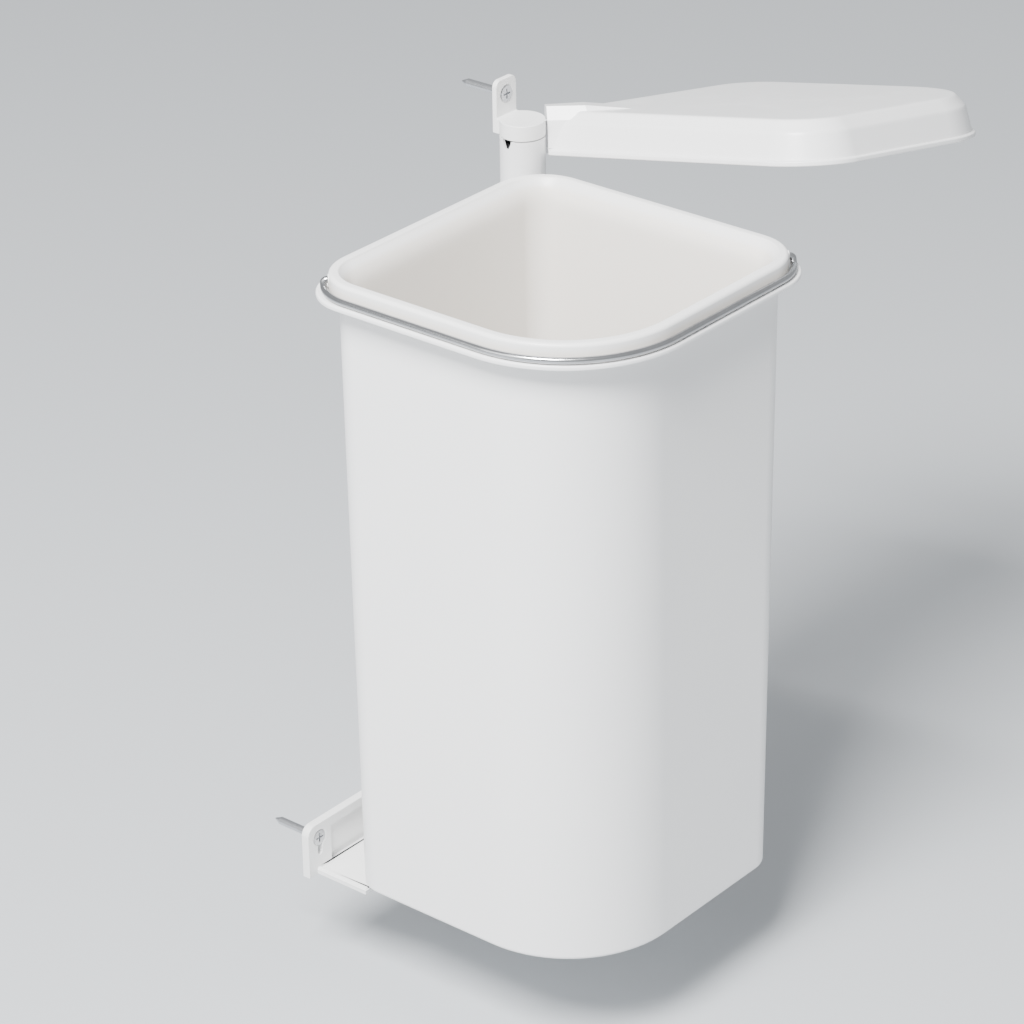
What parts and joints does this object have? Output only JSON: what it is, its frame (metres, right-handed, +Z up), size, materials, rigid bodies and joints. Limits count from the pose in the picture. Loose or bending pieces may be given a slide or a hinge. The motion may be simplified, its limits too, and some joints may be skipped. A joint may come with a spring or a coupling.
{
  "type": "swing-out cabinet waste bin",
  "caption": "Wall-hung waste bin for a sink cabinet: a square container swings on a post, holds a lift-out bucket with a wire handle, and its lid tips up as it opens.",
  "frame": {"origin": "on the cabinet wall, where the top fixing screw enters it, level with the pivot post", "axes": "+X out of the cabinet wall, +Y into the cabinet, +Z up along the pivot post"},
  "size_m": [0.2398, 0.3864, 0.4263],
  "materials": {
    "shell_white": "smooth satin-gloss moulded plastic",
    "bucket_white": "smooth moulded plastic, warmer white",
    "moulded_white": "moulded plastic, satin",
    "painted_white": "powder coat",
    "bright_steel": "zinc plated",
    "chrome_wire": "bright nickel plate",
    "bearing_plastic": "natural acetal",
    "dark_plastic": "black acetal"
  },
  "bodies": {
    "wall_frame": {"top_bracket": "moulded_white", "top_screw": "bright_steel", "base_bracket": "moulded_white", "base_screws": "bright_steel", "pivot_rod": "bright_steel", "rod_grub_screw": "bright_steel", "thrust_washer": "bearing_plastic"},
    "swing_bin": {"swing_tube": "painted_white", "cam_ring": "dark_plastic", "upper_bush": "bearing_plastic", "lower_bush": "bearing_plastic", "upper_arm": "painted_white", "lower_arm": "painted_white", "arm_rivets": "bright_steel", "container": "shell_white"},
    "bucket": {"bucket": "bucket_white", "bail_eyelets": "bucket_white"},
    "bail": {"bail_wire": "chrome_wire"},
    "lid": {"lid_shell": "shell_white", "lid_hinge_block": "moulded_white", "lid_shaft": "bright_steel", "cam_follower": "dark_plastic", "lid_screws": "bright_steel"}
  },
  "joints": [
    {"name": "bin_swing", "type": "hinge", "parent": "wall_frame", "child": "swing_bin", "pos_m": [0.014, 0, -0.2], "axis": [0, 0, 1], "range_deg": [0, 90]},
    {"name": "lid_tilt", "type": "hinge", "parent": "wall_frame", "child": "lid", "pos_m": [0.0087, 0.0053, -0.017], "axis": [0.7071, 0.7071, 0], "range_deg": [0, 15.9]},
    {"name": "bucket_lift", "type": "slide", "parent": "swing_bin", "child": "bucket", "axis": [0, 0, 1], "range_m": [0, 0.4]},
    {"name": "handle_swing", "type": "hinge", "parent": "bucket", "child": "bail", "pos_m": [0.115, -0.094, -0.0395], "axis": [-0.7071, -0.7071, 0], "range_deg": [0, 90]}
  ],
  "couplings": [
    {"joint": "lid_tilt", "follows": "bin_swing", "ratio": 0.17667},
    {"joint": "handle_swing", "follows": "bucket_lift", "rad_per_m": 3.9}
  ]
}
